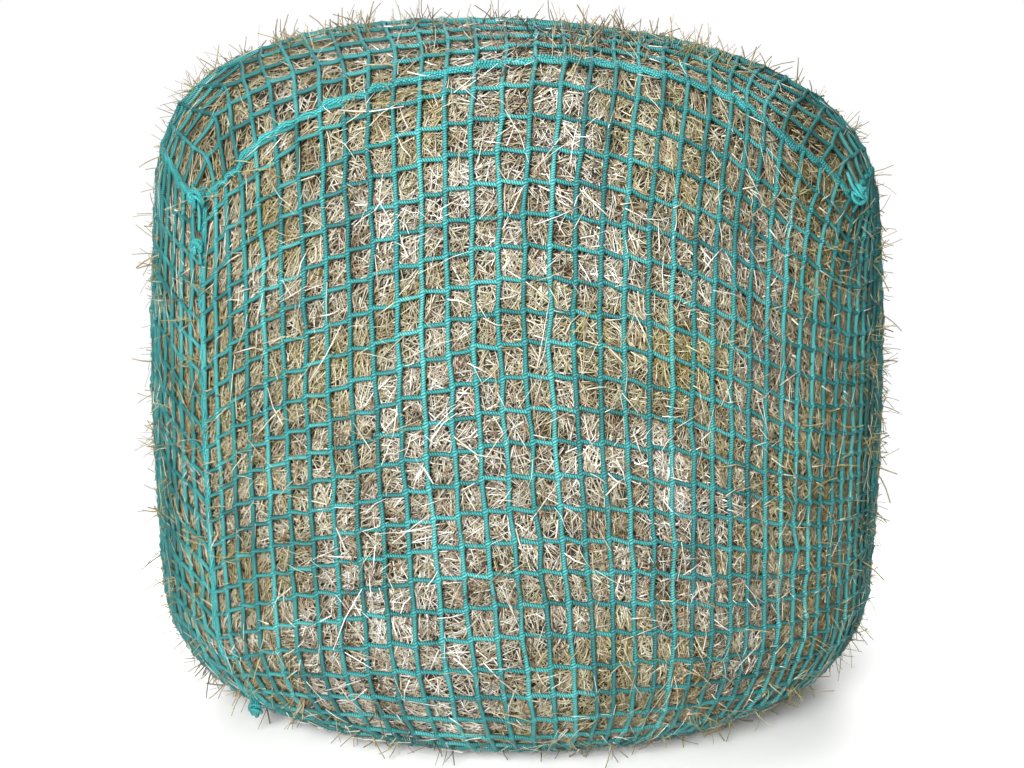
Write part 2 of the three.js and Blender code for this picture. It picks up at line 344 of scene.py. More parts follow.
def make_object(name, vertices, faces, material, uv=None, tone=None):
    """A mesh object from arrays. faces is a list of (n, k) index arrays, one per face size."""
    mesh = bpy.data.meshes.new(name)
    loops = np.concatenate([group.ravel() for group in faces])
    sizes = np.concatenate([np.full(len(group), group.shape[1]) for group in faces])
    mesh.vertices.add(len(vertices))
    mesh.vertices.foreach_set("co", vertices.astype(np.float32).ravel())
    mesh.loops.add(len(loops))
    mesh.loops.foreach_set("vertex_index", loops.astype(np.int32))
    mesh.polygons.add(len(sizes))
    starts = np.concatenate([[0], np.cumsum(sizes)[:-1]])
    mesh.polygons.foreach_set("loop_start", starts.astype(np.int32))
    if uv is not None:
        layer = mesh.uv_layers.new(name="Lay")
        layer.data.foreach_set("uv", uv.astype(np.float32).ravel())
    if tone is not None:
        attribute = mesh.attributes.new("tone", "FLOAT", "POINT")
        attribute.data.foreach_set("value", tone.astype(np.float32).ravel())
    mesh.update(calc_edges=True)
    mesh.polygons.foreach_set("use_smooth", np.full(len(sizes), True))
    mesh.materials.append(material)
    obj = placed(name, mesh)
    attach(obj, "root")
    return obj


def tube_arrays(paths, widths, depths, normals, sides):
    """Closed tubes along many paths at once.

    paths and normals are (tube, sample, 3); widths and depths are the half sizes of each
    section, across the surface and away from it, as (tube, sample).
    """
    count, samples = paths.shape[:2]
    ahead = unit(np.gradient(paths, axis=1))
    across = unit(np.cross(ahead, normals))
    away = np.cross(across, ahead)
    turns = np.arange(sides) * 2 * math.pi / sides
    ring = (
        np.cos(turns)[None, None, :, None] * across[:, :, None, :] * widths[:, :, None, None]
        + np.sin(turns)[None, None, :, None] * away[:, :, None, :] * depths[:, :, None, None]
    )
    vertices = (paths[:, :, None, :] + ring).reshape(-1, 3)
    tube = np.arange(count)[:, None, None] * samples * sides
    sample = np.arange(samples - 1)[None, :, None] * sides
    side = np.arange(sides)[None, None, :]
    beside = (side + 1) % sides
    here = tube + sample
    ahead_of = here + sides
    quads = np.stack([here + side, here + beside, ahead_of + beside, ahead_of + side], axis=-1)
    start_caps = tube[:, 0] + np.arange(sides)[::-1][None, :]
    end_caps = tube[:, 0] + (samples - 1) * sides + np.arange(sides)[None, :]
    # The UV map holds the share of a turn round the tube and the metres along it.
    steps = np.linalg.norm(np.diff(paths, axis=1), axis=-1)
    lengths = np.concatenate([np.zeros((count, 1)), np.cumsum(steps, axis=1)], axis=1)
    left, right, before, after = np.broadcast_arrays(
        side / sides, (side + 1) / sides, lengths[:, :-1, None], lengths[:, 1:, None]
    )
    corners = [(left, before), (right, before), (right, after), (left, after)]
    quad_uv = np.stack([np.stack(corner, axis=-1) for corner in corners], axis=-2)
    cap_uv = np.zeros((2 * count * sides, 2))
    uv = np.concatenate([quad_uv.reshape(-1, 2), cap_uv])
    return vertices, [quads.reshape(-1, 4), start_caps, end_caps], uv


def add_tubes(name, paths, widths, depths, normals, sides, material, tones=None):
    """One piece made of many tubes. A tube that would reach the floor is left out."""
    if tones is None:
        tones = random.uniform(0, 1, len(paths))
    clear = (paths[..., 2] - np.maximum(widths, depths)).min(axis=1) > 0
    sections = (part[clear] for part in (paths, widths, depths, normals))
    vertices, faces, uv = tube_arrays(*sections, sides)
    tone = np.repeat(tones[clear], paths.shape[1] * sides)
    obj = make_object(name, vertices, faces, material, uv, tone)
    return obj


def smooth_path(points, steps):
    """Catmull-Rom curve through points (..., n, 3), with steps samples per span."""
    first = 2 * points[..., :1, :] - points[..., 1:2, :]
    last = 2 * points[..., -1:, :] - points[..., -2:-1, :]
    padded = np.concatenate([first, points, last], axis=-2)
    p0, p1, p2, p3 = (padded[..., i : padded.shape[-2] - 3 + i, None, :] for i in range(4))
    t = steps[:, None]
    squared = 2 * p0 - 5 * p1 + 4 * p2 - p3
    cubed = 3 * p1 - 3 * p2 + p3 - p0
    curve = 0.5 * (2 * p1 + (p2 - p0) * t + squared * t**2 + cubed * t**3)
    flat = curve.reshape(*points.shape[:-2], -1, 3)
    return np.concatenate([flat, points[..., -1:, :]], axis=-2)


# ---- materials ----


def new_material(name):
    """A material, its node tree and its main shader."""
    material = bpy.data.materials.new(name)
    material.use_nodes = True
    tree = material.node_tree
    return material, tree, tree.nodes["Principled BSDF"]


def node(tree, kind, **values):
    """A shader node with its properties and socket values set by name."""
    made = tree.nodes.new("ShaderNode" + kind)
    for key, value in values.items():
        if hasattr(made, key):
            setattr(made, key, value)
        else:
            made.inputs[key.replace("_", " ")].default_value = value
    return made


def feed(socket, value):
    """Sets a socket to a number or a colour, or links another socket to it."""
    if isinstance(value, (int, float)):
        socket.default_value = value
    elif isinstance(value, tuple):
        socket.default_value = (*value, 1)
    else:
        socket.id_data.links.new(value, socket)


def noise(tree, place, scale, detail):
    """Noise from 0 to 1 at a place, a vector socket."""
    made = node(tree, "TexNoise", Scale=scale, Detail=detail)
    feed(made.inputs["Vector"], place)
    return made.outputs["Fac"]


def add_bump(tree, shader, height, strength, distance):
    """Relief on a shader from a height socket; distance is the height of 1 in metres."""
    bump = node(tree, "Bump", Strength=strength, Distance=distance)
    feed(bump.inputs["Height"], height)
    feed(shader.inputs["Normal"], bump.outputs[0])


def maths(tree, operation, first, second=None):
    """A Math node on numbers or sockets."""
    made = node(tree, "Math", operation=operation)
    for socket, value in zip(made.inputs, (first, second)):
        if value is not None:
            feed(socket, value)
    return made.outputs[0]


def ramp(tree, factor, stops):
    """A colour ramp; stops are pairs of a position and a colour."""
    made = node(tree, "ValToRGB")
    elements = made.color_ramp.elements
    while len(elements) < len(stops):
        elements.new(0.5)
    for element, (position, colour) in zip(elements, stops):
        element.position = position
        element.color = (*colour, 1)
    feed(made.inputs[0], factor)
    return made.outputs[0]


def mix_colours(tree, factor, first, second, blend="MIX"):
    """A Mix node on two colours; each input is a number, a colour or a socket."""
    factor_input, first_input, second_input = 0, 6, 7
    colour_output = 2
    made = node(tree, "Mix", data_type="RGBA", blend_type=blend)
    values = {factor_input: factor, first_input: first, second_input: second}
    for index, value in values.items():
        feed(made.inputs[index], value)
    return made.outputs[colour_output]


def braid_height(tree, pitch, strands):
    """Laid cord: rounded strands that wind round it, 0 in the grooves between them."""
    uv = node(tree, "UVMap", uv_map="Lay")
    split = node(tree, "SeparateXYZ")
    feed(split.inputs[0], uv.outputs[0])
    around = maths(tree, "MULTIPLY", split.outputs[0], math.pi * strands)
    along = maths(tree, "MULTIPLY", split.outputs[1], math.pi / pitch)
    return maths(tree, "ABSOLUTE", maths(tree, "SINE", maths(tree, "ADD", along, around)))


def twine_material(name, dark, middle, bright, pitch, strands):
    """Braided plastic twine: strand grooves darkened with painted shade and strand ridges
    brightened with painted highlights, a slow fade along its length, a satin face.
    """
    material, tree, shader = new_material(name)
    height = braid_height(tree, pitch, strands)
    place = node(tree, "TexCoord").outputs["Object"]
    fade = noise(tree, place, scale=9.0, detail=3.0)
    fibre = noise(tree, place, scale=900.0, detail=2.0)
    tone = node(tree, "Attribute", attribute_name="tone").outputs["Fac"]
    slow_fade = maths(tree, "MULTIPLY", fade, 0.7)
    spread = maths(tree, "ADD", slow_fade, maths(tree, "MULTIPLY", tone, 0.3))
    body = ramp(tree, spread, [(0.3, dark), (0.5, middle), (0.72, bright)])
    # Painted light: the braid's grooves get painted shade and the strands' ridges painted
    # highlights brighter than the base colour.
    groove_shade, flank_shade, ridge_highlight = (0.1, 0.2, 0.2), (0.7, 0.7, 0.7), (1.7, 1.45, 1.45)
    groove_shade_and_ridge_highlight = ramp(tree, height, [(0.0, groove_shade), (0.4, flank_shade), (1.0, ridge_highlight)])
    with_painted_braid_light = mix_colours(tree, 1.0, body, groove_shade_and_ridge_highlight, "MULTIPLY")
    feed(shader.inputs["Base Color"], with_painted_braid_light)
    rough = maths(tree, "ADD", maths(tree, "MULTIPLY", fibre, 0.2), 0.42)
    feed(shader.inputs["Roughness"], rough)
    feed(shader.inputs["Specular IOR Level"], 0.35)
    relief = maths(tree, "ADD", height, maths(tree, "MULTIPLY", fibre, 0.35))
    add_bump(tree, shader, relief, strength=1.0, distance=0.9 * MM)
    return material


BLACK = (0, 0, 0)
WHITE = (1, 1, 1)
HAY_GREEN = (0.32, 0.28, 0.09)
HAY_RUST = (0.34, 0.19, 0.11)
HAY_TONES = [
    (0.00, (0.024, 0.016, 0.010)),
    (0.10, (0.085, 0.055, 0.032)),
    (0.22, (0.210, 0.165, 0.090)),
    (0.34, (0.350, 0.320, 0.185)),
    (0.46, (0.400, 0.360, 0.285)),
    (0.60, (0.480, 0.475, 0.400)),
    (0.78, (0.620, 0.615, 0.560)),
    (1.00, (0.860, 0.840, 0.800)),
]


def stalk_material():
    """Dry stems and blades: each its own tone, streaked, green in patches, rusty in spots, and
    greener and darker towards the sides, partly in painted shade.
    """
    material, tree, shader = new_material("hay_stalks")
    uv = node(tree, "UVMap", uv_map="Lay")
    stretch = node(tree, "Mapping", Scale=(6, 40, 1))
    feed(stretch.inputs["Vector"], uv.outputs[0])
    streak = noise(tree, stretch.outputs[0], scale=1.0, detail=3.0)
    place = node(tree, "TexCoord").outputs["Object"]
    patch = noise(tree, place, scale=5.0, detail=2.0)
    rust = noise(tree, place, scale=60.0, detail=1.0)
    tone = node(tree, "Attribute", attribute_name="tone").outputs["Fac"]
    body = ramp(tree, tone, HAY_TONES)
    split = node(tree, "SeparateXYZ")
    feed(split.inputs[0], place)
    # The hay is palest a little to the left of the middle and turns greener and darker towards the
    # sides: partly the hay's own green, partly painted shade where the light falls off away from
    # the middle.
    off_middle = maths(tree, "ABSOLUTE", maths(tree, "ADD", split.outputs[0], 0.1))
    side_shade = maths(tree, "MULTIPLY", off_middle, 0.56)
    greenness_and_side_shade = maths(tree, "ADD", patch, side_shade)
    green_and_side_shade = ramp(tree, greenness_and_side_shade, [(0.5, BLACK), (0.85, WHITE)])
    greened_and_side_shaded = mix_colours(tree, maths(tree, "MULTIPLY", green_and_side_shade, 0.62), body, HAY_GREEN)
    browned = ramp(tree, rust, [(0.5, BLACK), (0.66, WHITE)])
    tinted = mix_colours(tree, maths(tree, "MULTIPLY", browned, 0.35), greened_and_side_shaded, HAY_RUST)
    streaks = ramp(tree, streak, [(0.35, (0.55, 0.52, 0.48)), (0.6, WHITE)])
    coloured = mix_colours(tree, 1.0, tinted, streaks, "MULTIPLY")
    feed(shader.inputs["Base Color"], coloured)
    feed(shader.inputs["Roughness"], 0.45)
    feed(shader.inputs["Specular IOR Level"], 0.6)
    add_bump(tree, shader, streak, strength=0.5, distance=0.4 * MM)
    return material


def shaded_packed_hay_material():
    """The hay packed below the loose stalks, in painted shade: near-black gaps between dim, short
    crossed stems, standing for the shadow under the stalks.
    """
    material, tree, shader = new_material("hay_packed_painted_shade")
    place = node(tree, "TexCoord").outputs["Object"]
    lays = [
        ((0.3, 0.5, 0.2), (1, 9, 5)),
        ((1.2, -0.4, 0.9), (8, 1, 6)),
        ((-0.6, 1.1, -1.3), (6, 8, 1)),
    ]
    stems = []
    for turn, squeeze in lays:
        lay = node(tree, "Mapping", Rotation=turn, Scale=squeeze)
        feed(lay.inputs["Vector"], place)
        stems.append(noise(tree, lay.outputs[0], scale=38.0, detail=3.0))
    height = maths(tree, "MAXIMUM", maths(tree, "MAXIMUM", stems[0], stems[1]), stems[2])
    # Painted shade: near black in the gaps and dim on the stems, for the shadow deep inside the
    # hay.
    stops = [
        (0.50, (0.010, 0.007, 0.004)),
        (0.62, (0.030, 0.022, 0.013)),
        (0.76, (0.100, 0.075, 0.040)),
        (0.88, (0.200, 0.160, 0.100)),
    ]
    body = ramp(tree, height, stops)
    feed(shader.inputs["Base Color"], body)
    feed(shader.inputs["Roughness"], 0.9)
    add_bump(tree, shader, height, strength=1.0, distance=3 * MM)
    return material


TEAL_DARK = (0.004, 0.064, 0.063)
TEAL = (0.010, 0.120, 0.117)
TEAL_BRIGHT = (0.032, 0.195, 0.188)
CORD_TEAL = (0.016, 0.165, 0.163)
CORD_BRIGHT = (0.030, 0.270, 0.270)

twine = twine_material("net_twine", TEAL_DARK, TEAL, TEAL_BRIGHT, pitch=3.8 * MM, strands=3)
lacing = twine_material("lacing_cord", TEAL, CORD_TEAL, CORD_BRIGHT, pitch=3.0 * MM, strands=2)
stalks = stalk_material()
painted_shade_packed_hay = shaded_packed_hay_material()


# ---- hay ----

STALK_SIDES = 3
DISC_HEIGHT = 2 * MM  # under the bale, inside the net's mouth, the hay comes this near the floor


def grid_faces(rows, columns, wrap=False):
    """Quads of a rows by columns grid of vertices, facing outwards when columns run east."""
    row = np.arange(rows - 1)[:, None] * columns
    column = np.arange(columns if wrap else columns - 1)[None, :]
    beside = (column + 1) % columns
    below = row + columns
    quads = np.stack([row + column, below + column, below + beside, row + beside], axis=-1)
    return quads.reshape(-1, 4)


def bale_sole(bearing):
    """Rings of the bale's underside: just inside the netting first, then the disc in its mouth."""
    disc_edge = MOUTH_RADIUS - 0.04
    radius = np.linspace(MOUTH_RADIUS, 0.02, 12)[:, None]
    turn = np.radians(bearing)[None, :]
    height = np.where(radius < disc_edge, DISC_HEIGHT, UNDER_NET + 6 * MM) + 0 * turn
    return np.stack([radius * np.sin(turn), -radius * np.cos(turn), height], axis=-1)


def joined_numbers(first, size, columns):
    """New vertex numbers that join the crown's rim to the wall's first ring.

    The crown is a grid of size by size vertices from number first on, and the ring has
    the numbers up to columns. Also returns the old numbers that stay in use.
    """
    run = np.arange(size - 1)
    right, far, left = size - 1, size * size - 1, size * (size - 1)
    rim = np.concatenate([run, right + run * size, far - run, left - run * size])
    joined = np.arange(first + size * size)
    joined[first + rim] = np.arange(columns)
    keep = np.unique(joined)
    compact = np.full(len(joined), -1)
    compact[keep] = np.arange(len(keep))
    return compact[joined], keep


def add_packed_hay():
    """The bale's body under the stalks, bulging a little through every mesh, coloured dark with
    painted shade.
    """
    steps = 3
    columns = COLUMNS * steps
    rows = ROWS * steps + 1
    rumple = Ripple(1.2, 4.0)

    def bulging(place, across, down):
        station, bearing = place(across, down)
        sunk = -15 * MM
        rise = 5 * MM * swell(across, down) + 1.5 * MM * rumple.at(across, down)
        return surface(station, bearing, sunk + rise), bearing

    column, row = np.meshgrid(np.arange(columns) / steps, np.arange(rows) / steps)
    side, bearing = bulging(side_place, column, row)
    sole = bale_sole(bearing[-1])
    wall = np.concatenate([side, sole]).reshape(-1, 3)
    rings = rows + len(sole)
    sole_middle = len(wall)
    wall = np.concatenate([wall, [[0, 0, DISC_HEIGHT]]])
    wall_faces = grid_faces(rings, columns, wrap=True)
    last = (rings - 1) * columns + np.arange(columns)
    middle_faces = np.stack([last, np.full(columns, sole_middle), np.roll(last, -1)], axis=-1)
    lines = np.linspace(-HALF_PANEL, HALF_PANEL, MESHES_PER_SIDE * steps + 1)
    across, along = np.meshgrid(lines, lines)
    crown, _ = bulging(top_place, across, along)
    size = len(lines)
    first = len(wall)
    crown_faces = first + grid_faces(size, size)[:, ::-1]
    relabel, keep = joined_numbers(first, size, columns)
    vertices = np.concatenate([wall, crown.reshape(-1, 3)])[keep]
    faces = [relabel[np.concatenate([wall_faces, crown_faces])], relabel[middle_faces]]
    obj = make_object("painted_shade_packed_hay", vertices, faces, painted_shade_packed_hay)
    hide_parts("hay_bale")


def lay_stalks(place, across, down, mesh_width, mesh_height, length, turn, lift, tilt, curl, bulge):
    """Paths of stalks lying on the bale, with their outward normals.

    across and down are the middles in mesh coordinates, turn the direction in radians,
    lift the height of the middle, tilt the rise from one end to the other.
    """
    samples = 3
    share = np.linspace(-0.5, 0.5, samples)[None, :]
    bent = turn[:, None] + curl[:, None] * share
    run_across = length[:, None] * share * np.cos(bent) / mesh_width
    run_down = length[:, None] * share * np.sin(bent) / mesh_height
    at_across = across[:, None] + run_across
    at_down = down[:, None] + run_down
    station, bearing = place(at_across, at_down)
    height = lift[:, None] + tilt[:, None] * share + bulge * swell(at_across, at_down)
    return surface(station, bearing, height), outward_normals(station, bearing)


def stalk_sections(count, samples, widths):
    """Half widths and depths: round stems and flat blades, tapering towards one end."""
    blades = 0.3
    taper = np.linspace(1.0, 0.6, samples)[None, :]
    blade = random.uniform(0, 1, count) < blades
    half_width = widths * np.where(blade, 1.5, 0.85)
    half_depth = widths * np.where(blade, 0.25, 0.75)
    return half_width[:, None] * taper, half_depth[:, None] * taper


def add_stalk_group(name, place, bounds, reach, count, heading, shade):
    """Loose stalks over one patch of the bale, given in mesh coordinates.

    Most lie between the twines; the few in over have worked their way on top of them.
    """
    usual_length, over_share = 40 * MM, 0.022
    (left, right), (top, bottom) = bounds
    across = random.uniform(left, right, count)
    down = random.uniform(top, bottom, count)
    length = random.lognormal(math.log(usual_length), 0.4, count)
    length = np.clip(length, 16 * MM, 110 * MM)
    turn = heading.at(across, down) * 1.2 + random.normal(0, 0.9, count)
    over = random.uniform(0, 1, count) < over_share
    above, below = random.uniform(8, 10, count), random.uniform(-12, -0.4, count)
    lift = np.where(over, above, below) * MM
    tilt = random.normal(0, 3.5 * MM, count)
    curl = random.normal(0, 0.2, count)
    bulge = np.where(over, 0, 3.0 * MM)[:, None]
    paths, normals = lay_stalks(place, across, down, *reach, length, turn, lift, tilt, curl, bulge)
    half_widths = random.uniform(0.5, 1.1, count) * MM
    widths, depths = stalk_sections(count, paths.shape[1], half_widths)
    tones = random.beta(1.8, 1.7, count) + 0.08 * shade.at(across, down) + 0.25 * over
    tones = np.clip(tones, 0, 1)
    add_tubes(name, paths, widths, depths, normals, STALK_SIDES, stalks, tones)


def add_sticking_out(name, tufts, per_tuft, on_top):
    """Tufts of broken stalk ends that stand out of the bale between the twines."""
    angle = random.uniform(-math.pi, math.pi, tufts)
    spread = HALF_PANEL * np.sqrt(random.uniform(0, 1, tufts))
    if on_top:
        station, bearing = top_place(spread * np.sin(angle), spread * np.cos(angle))
    else:
        lowest_row = 25
        column, row = random.uniform(0, COLUMNS, tufts), random.uniform(0, lowest_row, tufts)
        station, bearing = side_place(column, row)
    root = surface(station, bearing, -6 * MM)
    outward = outward_normals(station, bearing)
    sideways = unit(np.cross(outward, random.normal(0, 1, (tufts, 3))))
    tuft_lean = random.uniform(0.0, 1.1, tufts)[:, None]
    tuft_heading = outward * np.cos(tuft_lean) + sideways * np.sin(tuft_lean)
    tuft_tone = random.beta(1.2, 7.0, tufts)
    count = tufts * per_tuft
    outward = np.repeat(outward, per_tuft, axis=0)
    scatter = random.normal(0, 6 * MM, (count, 3))
    scatter -= outward * (scatter * outward).sum(axis=-1, keepdims=True)
    root = np.repeat(root, per_tuft, axis=0) + scatter
    heading = unit(np.repeat(tuft_heading, per_tuft, axis=0) + random.normal(0, 0.5, (count, 3)))
    usual_length = 26 * MM
    furthest_out = 50 * MM
    length = random.lognormal(math.log(usual_length), 0.4, count)
    length = np.clip(length, 12 * MM, 60 * MM)[:, None]
    bend = unit(np.cross(heading, random.normal(0, 1, (count, 3))))
    bend = bend * random.uniform(0, 1.1, count)[:, None]
    start_rise = (heading * outward).sum(axis=-1)
    tip_rise = ((heading + bend) * outward).sum(axis=-1)
    rise = np.maximum(np.maximum(start_rise, tip_rise), 0.15)
    length = np.minimum(length, furthest_out / rise[:, None])
    samples = 5
    share = np.linspace(0, 1, samples)[None, :, None]
    curve = heading[:, None] * share + bend[:, None] * share**2
    paths = root[:, None] + curve * length[:, None]
    facing = unit(np.cross(heading, outward + heading[:, ::-1]))[:, None]
    normals = np.broadcast_to(facing, paths.shape)
    half_widths = random.uniform(0.8, 1.7, count) * MM
    widths, depths = stalk_sections(count, samples, half_widths)
    tones = np.clip(np.repeat(tuft_tone, per_tuft) + random.normal(0, 0.06, count), 0, 1)
    add_tubes(name, paths, widths, depths, normals, STALK_SIDES, stalks, tones)


def add_hay():
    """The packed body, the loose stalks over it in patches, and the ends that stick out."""
    add_packed_hay()
    thinning = 1.0
    heading = Ripple(1.6, 5.0)
    shade = Ripple(1.5, 6.0)
    sectors = 12
    lowest_row = 27
    side_mesh = (MESH_WIDTH, MESH_HEIGHT)
    for sector in range(sectors):
        columns = (COLUMNS / sectors * sector, COLUMNS / sectors * (sector + 1))
        bounds = (columns, (0, lowest_row))
        count = int(14000 * thinning)
        name = f"hay_side_{sector + 1}"
        add_stalk_group(name, side_place, bounds, side_mesh, count, heading, shade)
    halves = [(-HALF_PANEL, 0), (0, HALF_PANEL)]
    top_mesh = (MESH_HEIGHT, MESH_HEIGHT)
    for index, bounds in enumerate([(across, along) for across in halves for along in halves]):
        count = int(8000 * thinning)
        name = f"hay_top_{index + 1}"
        add_stalk_group(name, top_place, bounds, top_mesh, count, heading, shade)
    per_tuft = 5
    add_sticking_out("hay_loose_ends_top", int(1200 * thinning), per_tuft, on_top=True)
    add_sticking_out("hay_loose_ends_side", int(1400 * thinning), per_tuft, on_top=False)


# ---- netting ----

JOINT_STEP = 2.8 * MM  # how far a twine climbs as it passes through a joint
TWINE_SIDES = 6
JOINT_JITTER = 1.3 * MM
HEIGHT_JITTER = 0.8 * MM
# Places of a running twine's samples between two joints, closer together near each joint.
JOINT_STEPS = np.array([0.0, 0.07, 0.14, 0.22, 0.36, 0.5, 0.64, 0.78, 0.86, 0.93])


def joint_swelling(samples_per_mesh, meshes):
    """How far a twine thickens into a joint, along a run of meshes: 1 at a joint, 0 between."""
    near = np.minimum(samples_per_mesh, 1 - samples_per_mesh)
    one = np.exp(-((near / 0.115) ** 4))
    return np.append(np.tile(one, meshes), 1.0)


def running_lines(name, joints, normals):
    """The twines that run straight through their joints: joints is (line, joint, 3)."""
    lines, meshes = joints.shape[0], joints.shape[1] - 1
    paths = smooth_path(joints, JOINT_STEPS)
    facing = unit(smooth_path(normals, JOINT_STEPS))
    swelling = joint_swelling(JOINT_STEPS, meshes)[None, :]
    waver = random.uniform(0.86, 1.12, paths.shape[:2])
    widths = (TWINE_RADIUS + 1.75 * MM * swelling) * waver
    depths = (TWINE_RADIUS + 0.9 * MM * swelling) * np.ones((lines, 1))
    paths = paths - facing * (1 - swelling[..., None]) * 1.2 * MM
    return add_tubes(name, paths, widths, depths, facing, TWINE_SIDES, twine)


def cross_legs(name, joints, normals):
    """The legs between neighbouring lines: each leaves its joint high and arrives low."""
    share = np.array([0.0, 0.12, 0.3, 0.5, 0.7, 0.88, 1.0])
    along_leg = share[:, None]
    rise = 0.5 * along_leg + 0.5 * smoothstep(along_leg, 0, 1)
    arch = np.sin(math.pi * along_leg)
    start, end = joints[:-1, :, None], joints[1:, :, None]
    upward = -unit(np.gradient(joints, axis=1))[:, :, None]
    high, low = upward[:-1] * JOINT_STEP, upward[1:] * JOINT_STEP
    normals = normals[:, :, None]
    facing = unit(normals[:-1] * (1 - along_leg) + normals[1:] * along_leg)
    sink = 1.0 * MM * arch
    sag = random.normal(0.6, 1.0, start.shape[:2])[..., None, None] * MM * arch
    straight = start * (1 - along_leg) + end * along_leg
    paths = straight + high * (1 - rise) - low * rise - facing * sink - upward[:-1] * sag
    paths = paths.reshape(-1, len(share), 3)
    facing = facing.reshape(-1, len(share), 3)
    flare = np.exp(-((np.minimum(share, 1 - share) / 0.16) ** 2))[None, :]
    waver = random.uniform(0.84, 1.08, (len(paths), len(share)))
    widths = (0.94 * TWINE_RADIUS + 0.5 * MM * flare) * waver
    add_tubes(name, paths, widths, widths, facing, TWINE_SIDES, twine)


def add_side_net():
    """The side strip's twines, one pair of pieces under each edge of the top panel."""
    sole_height = 3.6 * MM
    column, row = np.meshgrid(np.arange(COLUMNS + 1.0), np.arange(ROWS + 1.0), indexing="ij")
    station, bearing = side_place(column, row)
    inner = (column > 0) & (column < COLUMNS) & (row > 0)
    jitter = JOINT_JITTER * inner
    station = station + random.normal(0, 1, station.shape) * jitter
    bearing = bearing + np.degrees(random.normal(0, 1, station.shape) * jitter / BALE_RADIUS)
    # The strip's two ends lie either side of the side seam.
    seam_gap = np.degrees(EDGE_GAP / BALE_RADIUS)
    bearing = bearing + seam_gap * ((column == 0) * 1.0 - (column == COLUMNS) * 1.0)
    station = np.minimum(station + (row == 0) * EDGE_GAP, MOUTH_STATION)
    height = NET_HEIGHT + random.normal(0, 1, station.shape) * HEIGHT_JITTER
    height = np.where(station > HEEL_START + UNDER_SOLE, sole_height, height)
    joints = surface(station, bearing, height)
    normals = outward_normals(station, bearing)
    for side, first in enumerate(range(0, COLUMNS, MESHES_PER_SIDE)):
        last = first + MESHES_PER_SIDE
        own_lines = slice(first, last + (last == COLUMNS))
        down_name = f"side_net_down_twines_{side + 1}"
        down_lines = running_lines(down_name, joints[own_lines], normals[own_lines])
        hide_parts("side_net")
        legs = slice(first, last + 1)
        cross_legs(f"side_net_round_twines_{side + 1}", joints[legs], normals[legs])


def add_top_net():
    """The top panel's twines, which end beside the seam."""
    lines = np.arange(MESHES_PER_SIDE + 1.0) - HALF_PANEL
    across, along = np.meshgrid(lines, lines, indexing="ij")
    station, bearing = top_place(across, along)
    ring = np.maximum(np.abs(across), np.abs(along)) / HALF_PANEL
    inner = ring < 1
    station = station - (ring == 1) * EDGE_GAP
    jitter = JOINT_JITTER * inner
    height = NET_HEIGHT + random.normal(0, 1, station.shape) * HEIGHT_JITTER
    joints = surface(station, bearing, height)
    normals = outward_normals(station, bearing)
    shake = random.normal(0, 1, joints.shape) * jitter[..., None]
    joints = joints + shake - normals * (shake * normals).sum(axis=-1, keepdims=True)
    # Lines run away from the front, so turn them round to let their steps climb the same way.
    joints = joints[:, ::-1]
    normals = normals[:, ::-1]
    down_lines = running_lines("top_net_down_twines", joints, normals)
    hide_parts("top_net")
    cross_legs("top_net_cross_twines", joints, normals)


# ---- seams and knots ----

LACING_STEPS = 40  # samples for each mesh


def seam_frame(station, bearing, height):
    """Centre line, outward normals and sideways directions along a seam."""
    centre = surface(station, bearing, height)
    normals = outward_normals(station, bearing)
    ahead = unit(np.gradient(centre, axis=0))
    sideways = unit(np.cross(ahead, normals))
    return centre, normals, sideways


def add_cords(name, routes, facings, radius, replaced):
    """Several cords of one piece, in the place of some CAD nodes.

    routes is a list of (n, 3) arrays, all of one length.
    """
    cord_sides = 7
    paths = np.stack(routes)
    normals = np.stack(facings)
    radii = np.full(paths.shape[:2], radius)
    obj = add_tubes(name, paths, radii, radii, normals, cord_sides, lacing)
    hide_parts(*replaced)


def lacing_coil(name, centre, normals, sideways, meshes, thickness, replaced):
    """A seam's lacing: wound tightly round the two edges it joins, mesh after mesh.

    Each mesh's stretch runs a little slanted, so the seam steps sideways at every joint.
    """
    wraps = 5
    cord_radius = 2.0 * MM
    step_jitter = 2.0 * MM
    joint_share = 0.09
    coils = []
    mesh = np.linspace(0, meshes, len(centre))
    in_mesh = mesh - np.floor(mesh)
    shift = random.normal(0, step_jitter, meshes + 1)[np.floor(mesh).astype(int)]
    stepped = JOINT_STEP * 1.1 * (2 * smoothstep(in_mesh, 0.06, 0.94) - 1)
    at_joint = np.exp(-((np.minimum(in_mesh, 1 - in_mesh) / joint_share) ** 2))
    stepped = (stepped + shift) * (1 - at_joint)
    uneven = 1 + 0.4 * np.sin(mesh * 2.3) * np.sin(mesh * 0.71)
    girth = thickness * (1 - 0.3 * at_joint) * uneven
    middle = centre + sideways * stepped[:, None]
    for phase in (0.0, math.pi):
        turn = 2 * math.pi * wraps * mesh + phase + 0.5 * np.sin(mesh * 1.7)
        swing = sideways * (girth * np.cos(turn))[:, None]
        lift = normals * (0.62 * girth * np.sin(turn))[:, None]
        coils.append(middle + swing + lift)
    add_cords(name, coils, [normals] * 2, cord_radius, replaced)


def add_top_seam(side, middle):
    """The lacing that joins one edge of the top panel to the side strip."""
    to_knot = 44.2
    even = middle + np.linspace(-to_knot, to_knot, MESHES_PER_SIDE * LACING_STEPS)
    bearing = even - seam_slip(even)
    centre, normals, sideways = seam_frame(seam_station(bearing), bearing, SEAM_HEIGHT)
    replaced = [f"top_seam_cord_{side}"]
    thickness = 3.6 * MM
    name = f"top_seam_{side}"
    lacing_coil(name, centre, normals, sideways, MESHES_PER_SIDE, thickness, replaced)


